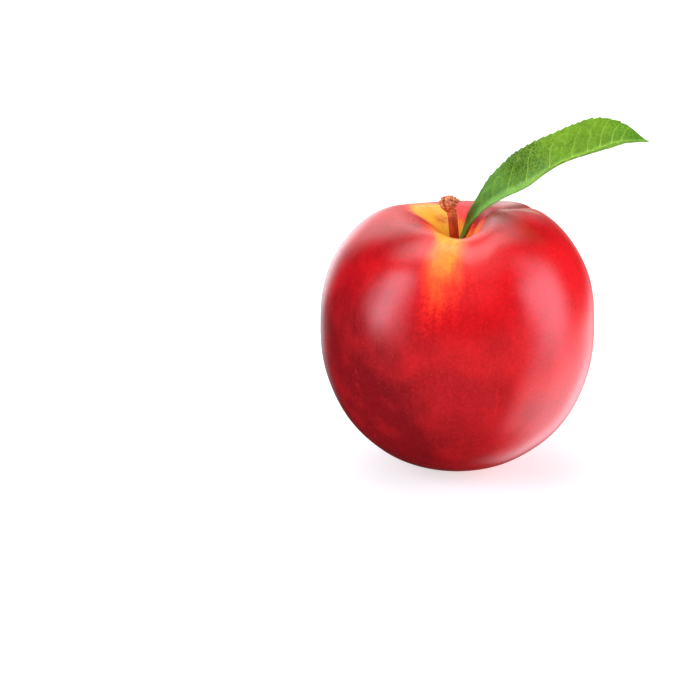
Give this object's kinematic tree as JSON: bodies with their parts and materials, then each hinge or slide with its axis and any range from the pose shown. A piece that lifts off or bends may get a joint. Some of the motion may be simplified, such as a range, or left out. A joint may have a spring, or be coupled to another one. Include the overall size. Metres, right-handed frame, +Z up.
{
  "type": "nectarine",
  "caption": "Whole ripe nectarine, smooth red and yellow skin with a shallow suture and stem cavity, short woody stem and one lance-shaped leaf; rests upright as food or table decor.",
  "frame": {"origin": "centre of the flat spot that the fruit rests on", "axes": "+Z up along the core towards the stem, +X towards the leaf's tip, -Y towards the side with the shallow front valley"},
  "size_m": [0.0835, 0.0696, 0.0864],
  "materials": {
    "nectarine_skin": "satin",
    "stem_bark": "matte",
    "leaf_green": "satin"
  },
  "bodies": {
    "root": {"fruit": "nectarine_skin", "stem": "stem_bark", "leaf": "leaf_green"}
  },
  "joints": []
}
